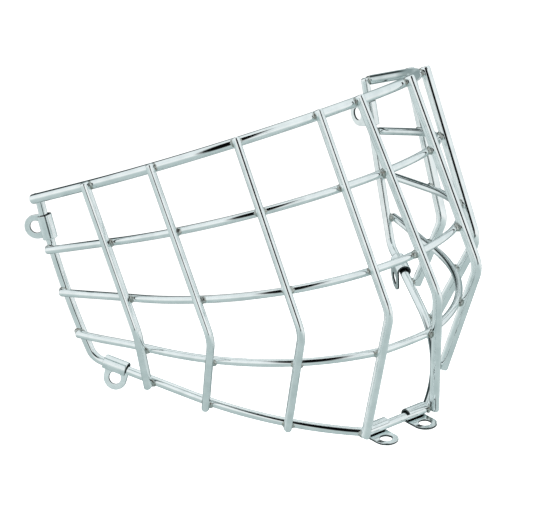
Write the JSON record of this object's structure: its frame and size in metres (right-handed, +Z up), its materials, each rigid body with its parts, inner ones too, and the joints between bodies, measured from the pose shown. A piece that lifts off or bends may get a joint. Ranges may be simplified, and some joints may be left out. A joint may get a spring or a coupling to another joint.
{
  "type": "hockey goalie cage",
  "caption": "Welded steel-wire face cage for a goalie mask: brow bar, cross wires, kinked uprights and a bent rim wire, with swivelling strap clips for the screws.",
  "frame": {"origin": "the middle of the part's box, which lies in the head space behind the face wires", "axes": "+X to the wearer's left, -Y out of the front of the face, +Z up along the upper face wires; the wearer's head fills the space behind, and the cage is worn tipped back by about 13 degrees"},
  "size_m": [0.21, 0.1261, 0.1637],
  "materials": {
    "plated_wire": "bright chrome plate over drawn steel wire",
    "plated_strap": "bright chrome plate over stamped steel strap, slightly duller"
  },
  "bodies": {
    "cage": {"brow_bar": "plated_wire", "upper_cross_wire": "plated_wire", "middle_cross_wire": "plated_wire", "lower_cross_wire": "plated_wire", "right_outer_upright": "plated_wire", "right_side_upright": "plated_wire", "right_front_upright": "plated_wire", "right_centre_upright": "plated_wire", "left_outer_upright": "plated_wire", "left_side_upright": "plated_wire", "left_front_upright": "plated_wire", "left_centre_upright": "plated_wire", "perimeter_wire": "plated_wire"},
    "right_temple_clip": {"right_temple_clip": "plated_strap"},
    "left_temple_clip": {"left_temple_clip": "plated_strap"},
    "right_jaw_clip": {"right_jaw_clip": "plated_strap"},
    "left_jaw_clip": {"left_jaw_clip": "plated_strap"},
    "right_chin_clip": {"right_chin_clip": "plated_strap"},
    "left_chin_clip": {"left_chin_clip": "plated_strap"}
  },
  "joints": [
    {"name": "right_temple_clip_swing", "type": "hinge", "parent": "cage", "child": "right_temple_clip", "pos_m": [-0.09838, 0.04863, 0.06583], "axis": [0.0625, 0.2433, -0.9679], "continuous": true},
    {"name": "left_temple_clip_swing", "type": "hinge", "parent": "cage", "child": "left_temple_clip", "pos_m": [0.09832, 0.04888, 0.06486], "axis": [0.0641, -0.2414, 0.9683], "continuous": true},
    {"name": "right_jaw_clip_swing", "type": "hinge", "parent": "cage", "child": "right_jaw_clip", "pos_m": [-0.08634, 0.0528, -0.00486], "axis": [0.4195, -0.6552, -0.6283], "continuous": true},
    {"name": "left_jaw_clip_swing", "type": "hinge", "parent": "cage", "child": "left_jaw_clip", "pos_m": [0.0842, 0.04945, -0.00807], "axis": [0.4195, 0.6552, 0.6283], "continuous": true},
    {"name": "right_chin_clip_swing", "type": "hinge", "parent": "cage", "child": "right_chin_clip", "pos_m": [-0.0117, -0.01763, -0.0724], "axis": [1, 0, 0], "continuous": true},
    {"name": "left_chin_clip_swing", "type": "hinge", "parent": "cage", "child": "left_chin_clip", "pos_m": [0.012, -0.01763, -0.0724], "axis": [1, 0, 0], "continuous": true}
  ]
}
